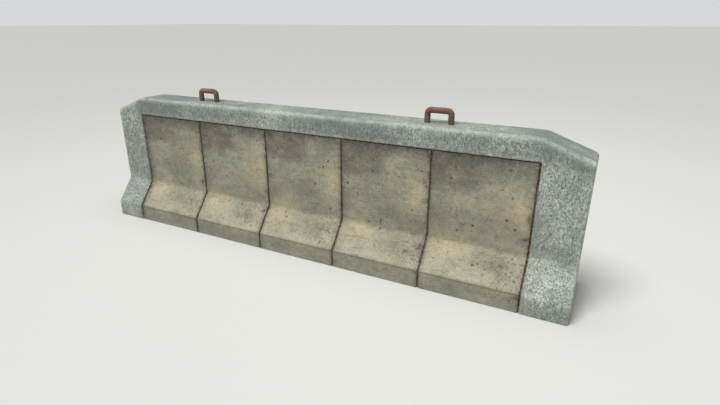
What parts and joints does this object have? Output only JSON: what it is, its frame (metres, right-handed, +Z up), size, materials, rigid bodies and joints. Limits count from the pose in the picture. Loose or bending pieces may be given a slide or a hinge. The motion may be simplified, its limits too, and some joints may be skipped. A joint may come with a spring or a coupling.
{
  "type": "concrete road barrier",
  "caption": "Three-metre precast concrete barrier with a flared foot, sloped top ends, jointed facing slabs and steel lifting loops.",
  "frame": {"origin": "centre of the footprint on the ground", "axes": "+X along the barrier, -Y is the front, +Z up"},
  "size_m": [3, 0.465, 0.903],
  "materials": {
    "grey_concrete": "matte",
    "facing_concrete": "matte",
    "joint_filler": "matte",
    "rusty_steel": "matte",
    "cage_steel": "matte",
    "dowel_steel": "satin",
    "block_mortar": "matte"
  },
  "bodies": {
    "root": {"casting": "grey_concrete", "front_top_joint_strip": "joint_filler", "front_joint_strip_01": "joint_filler", "front_joint_strip_02": "joint_filler", "front_joint_strip_03": "joint_filler", "front_joint_strip_04": "joint_filler", "front_joint_strip_05": "joint_filler", "front_joint_strip_06": "joint_filler", "front_slab_dowels": "dowel_steel", "front_slab_01": "facing_concrete", "front_slab_02": "facing_concrete", "front_slab_03": "facing_concrete", "front_slab_04": "facing_concrete", "front_slab_05": "facing_concrete", "back_top_joint_strip": "joint_filler", "back_joint_strip_01": "joint_filler", "back_joint_strip_02": "joint_filler", "back_joint_strip_03": "joint_filler", "back_joint_strip_04": "joint_filler", "back_joint_strip_05": "joint_filler", "back_joint_strip_06": "joint_filler", "back_slab_dowels": "dowel_steel", "back_slab_01": "facing_concrete", "back_slab_02": "facing_concrete", "back_slab_03": "facing_concrete", "back_slab_04": "facing_concrete", "back_slab_05": "facing_concrete", "lifting_loop_left": "rusty_steel", "lifting_loop_right": "rusty_steel", "spacer_blocks": "block_mortar", "flare_bars": "cage_steel", "top_bars": "cage_steel", "middle_bars": "cage_steel", "waist_bars": "cage_steel", "foot_outer_bars": "cage_steel", "foot_inner_bars": "cage_steel", "hairpin_01": "cage_steel", "hairpin_02": "cage_steel", "hairpin_03": "cage_steel", "hairpin_04": "cage_steel", "hairpin_05": "cage_steel", "hairpin_06": "cage_steel", "hairpin_07": "cage_steel", "hairpin_08": "cage_steel", "hairpin_09": "cage_steel", "hairpin_10": "cage_steel", "hairpin_11": "cage_steel", "foot_ring_01": "cage_steel", "foot_ring_02": "cage_steel", "foot_ring_03": "cage_steel", "foot_ring_04": "cage_steel", "foot_ring_05": "cage_steel", "foot_ring_06": "cage_steel", "foot_ring_07": "cage_steel", "foot_ring_08": "cage_steel", "foot_ring_09": "cage_steel", "foot_ring_10": "cage_steel", "foot_ring_11": "cage_steel"}
  },
  "joints": []
}
